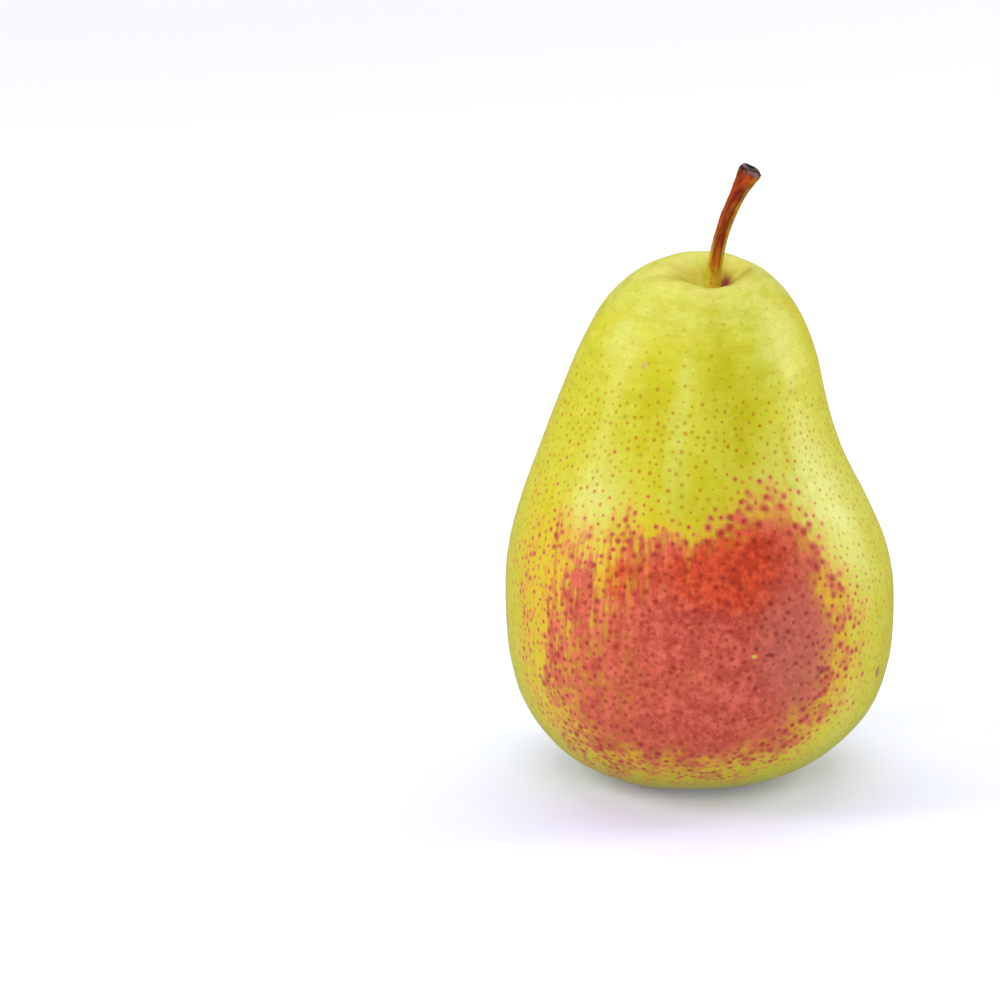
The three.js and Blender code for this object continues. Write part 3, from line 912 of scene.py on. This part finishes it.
def makeStalk():
    shape = stalkShape
    foot, waist, knob, end = shape["foot"], shape["waist"], shape["knob"], shape["knobShare"]
    length, steps = shape["length"], shape["lineSteps"]
    # radius and share of the length
    side = [(foot * 0.9, 0), (foot, 0.04), (foot, 0.2), (waist * 1.03, 0.32), (waist * 0.97, 0.5),
            (waist, 0.68), (waist * 1.08, 1 - end), (knob * 0.84, 1 - end * 0.5),
            (knob * 0.98, 1 - end * 0.2), (knob * 0.96, 1 - end * 0.06)]
    hollow = [(knob * 0.8, 1), (knob * 0.62, 0.992), (knob * 0.45, 0.985), (0, 0.98)]
    scaled = splinePoints([(r, share * length, 0) for r, share in side], shape["rows"])
    bm = lathe([(0, 0)] + [(p.x, p.y / length) for p in scaled] + hollow, shape["segments"])
    line = splinePoints(shape["line"], steps)
    grain, marks = [], []
    for vert in bm.verts:
        x, y, share = vert.co
        radius, angle = math.hypot(x, y), math.atan2(y, x)
        spot = min(share, 1.0) * steps
        k = min(int(spot), steps - 1)
        middle = line[k].lerp(line[k + 1], spot - k)
        ahead = (line[k + 1] - line[k]).normalized()
        right = Vector((0, 1, 0)).cross(ahead).normalized()
        deep = ahead.cross(right)
        ridge = shape["ridgeHeight"] * smoothStep(share, *shape["ridgeStart"])
        ridge *= math.cos(shape["ridges"] * (angle - share))
        straight = Vector((radius * math.cos(angle), radius * math.sin(angle), share * length))
        (coarse, coarseScale), (fine, fineScale) = shape["rough"]
        rough = coarse * noise.noise(Vector((straight.x, straight.y, straight.z * 0.35)) * coarseScale)
        rough += fine * noise.noise(straight * fineScale)
        r = radius * (1 + ridge + rough * smoothStep(share, *shape["roughStart"]))
        vert.co = middle + right * r * math.cos(angle) + deep * r * math.sin(angle)
        grain.append(straight * mm)
        if radius < knob * shape["endRadius"]:
            scar = smoothStep(share, *shape["endStart"])
        else:
            scar = shape["scorch"] * smoothStep(share, *shape["scorchStart"])
        marks.append((share, math.cos(angle), scar))
    stalk = makePiece("stalkBark", bm, stalkMaterial(), "stalk")
    storeValues(stalk.data, "grain", "FLOAT_VECTOR", "POINT", grain)
    storeValues(stalk.data, "marks", "FLOAT_VECTOR", "POINT", marks)


# the calyx

calyxShape = {
    "place": (-2.0, 0.0, 5.84),
    "discRadius": 2.3,
    "discHeight": 1.2,
    "sepals": 5,
    "sepalLength": 3.6,
    "sepalWidth": 1.8,
    "sepalThickness": 0.45,
    "sepalTaper": (1.6, 0.8),
    "sepalWave": (0.1, 9),  # share of the width, and how often
    "sepalRoot": (0.45, 0.3),  # inward from the disc's edge, and up
    "sepalBelly": (0.8, 2.2),
    "sepalFlare": (0.9, 3),
    "sepalCup": 0.35,
    "sepalDrop": (0.9, 0.06),  # share of its length that it hangs down, and how much the curl takes
    "sepalCurl": (0.8, 1.15),
    "sepalTwist": (-0.25, 0.25),
    "sepalMerge": 1e-3,  # millimetres, where the blade's tip comes to a point
    "stamens": 14,
    "stamenLength": (1.5, 2.3),
    "stamenRadii": (0.1, 0.2),
    "stamenRoot": (0.25, 0.07),  # distance of the first from the middle, and what each next one adds
    "stamenLean": 0.35,
    "stamenTurn": 2.4,
    "stamenTop": 0.2,
    "turn": math.radians(18),
    "seed": 3,
}


driedTints = {
    "dark": (46, 22, 16),
    "light": (104, 66, 46),
    "dust": (150, 124, 104),
}


def calyxMaterial():
    w = Wiring("driedFlower")
    place = w.place()
    blotch, grain = w.noise(place, 1.2, 3.0), w.noise(place, 0.2, 2.0)
    dark, light, dust = (tint(*driedTints[name]) for name in ("dark", "light", "dust"))
    colour = w.mix(w.ramp(blotch, 0.3, 0.7), dark, light)
    colour = w.mix(w.ramp(grain, 0.5, 0.75, 0.0, 0.6), colour, dust)
    w.put(w.shader.inputs["Base Color"], colour)
    w.shader.inputs["Roughness"].default_value = 0.9
    w.put(w.shader.inputs["Normal"], w.bump(grain, 0.06))
    return w.material


def makeCalyx():
    shape = calyxShape
    taper, wave, root, belly = [shape["sepal" + key] for key in ("Taper", "Wave", "Root", "Belly")]
    flare, drop = shape["sepalFlare"], shape["sepalDrop"]
    rng = random.Random(shape["seed"])
    bm = bmesh.new()
    disc = bmesh.ops.create_cone(bm, cap_ends=True, segments=40, radius1=shape["discRadius"] * 0.96,
                                 radius2=shape["discRadius"], depth=shape["discHeight"])
    bmesh.ops.translate(bm, vec=(0, 0, shape["discHeight"] / 2), verts=disc["verts"])
    for i in range(shape["sepals"]):
        blade = bmesh.new()
        bmesh.ops.create_grid(blade, x_segments=8, y_segments=18, size=0.5)
        curl, twist = rng.uniform(*shape["sepalCurl"]), rng.uniform(*shape["sepalTwist"])
        for vert in blade.verts:
            along, across = vert.co.y + 0.5, vert.co.x * 2
            wide = shape["sepalWidth"] / 2 * (1 - along ** taper[0]) ** taper[1]
            wide *= 1 + wave[0] * math.sin(wave[1] * along + i)
            out = shape["discRadius"] - root[0] - belly[0] * math.sin(belly[1] * along)
            out += flare[0] * curl * along ** flare[1]
            out -= shape["sepalCup"] * (across * wide / shape["sepalWidth"] * 2) ** 2
            down = drop[0] * along * shape["sepalLength"] * (1 - drop[1] * (1 - curl))
            vert.co = (out, -(across * wide + twist * along ** 2), root[1] - down)
        bmesh.ops.remove_doubles(blade, verts=blade.verts, dist=shape["sepalMerge"])
        bmesh.ops.recalc_face_normals(blade, faces=blade.faces)
        bmesh.ops.solidify(blade, geom=blade.faces, thickness=shape["sepalThickness"] * 0.6)
        turn = 2 * math.pi * i / shape["sepals"] + shape["turn"]
        for vert in blade.verts:
            x, y, z = vert.co
            vert.co = (x * math.cos(turn) - y * math.sin(turn), x * math.sin(turn) + y * math.cos(turn), z)
        bmesh.ops.recalc_face_normals(blade, faces=blade.faces)
        part = bpy.data.meshes.new("blade")
        blade.to_mesh(part)
        blade.free()
        bm.from_mesh(part)
        bpy.data.meshes.remove(part)
    for i in range(shape["stamens"]):
        thread = bmesh.ops.create_cone(bm, cap_ends=True, segments=7, radius1=shape["stamenRadii"][0],
                                       radius2=shape["stamenRadii"][1], depth=1.0)
        turn, reach = shape["stamenTurn"] * i, shape["stamenRoot"][0] + shape["stamenRoot"][1] * i
        length = rng.uniform(*shape["stamenLength"])
        for vert in thread["verts"]:
            down = 0.5 - vert.co.z
            out = reach + shape["stamenLean"] * down ** 2
            vert.co += Vector((out * math.cos(turn), out * math.sin(turn), 0))
            vert.co.z = shape["stamenTop"] - down * length
    bmesh.ops.translate(bm, vec=shape["place"], verts=bm.verts)
    makePiece("driedCalyx", bm, calyxMaterial(), "calyx")


addCamera()
addLamps()
addFloor()
print("studio ready")
makeFruit()
makeStalk()
makeCalyx()
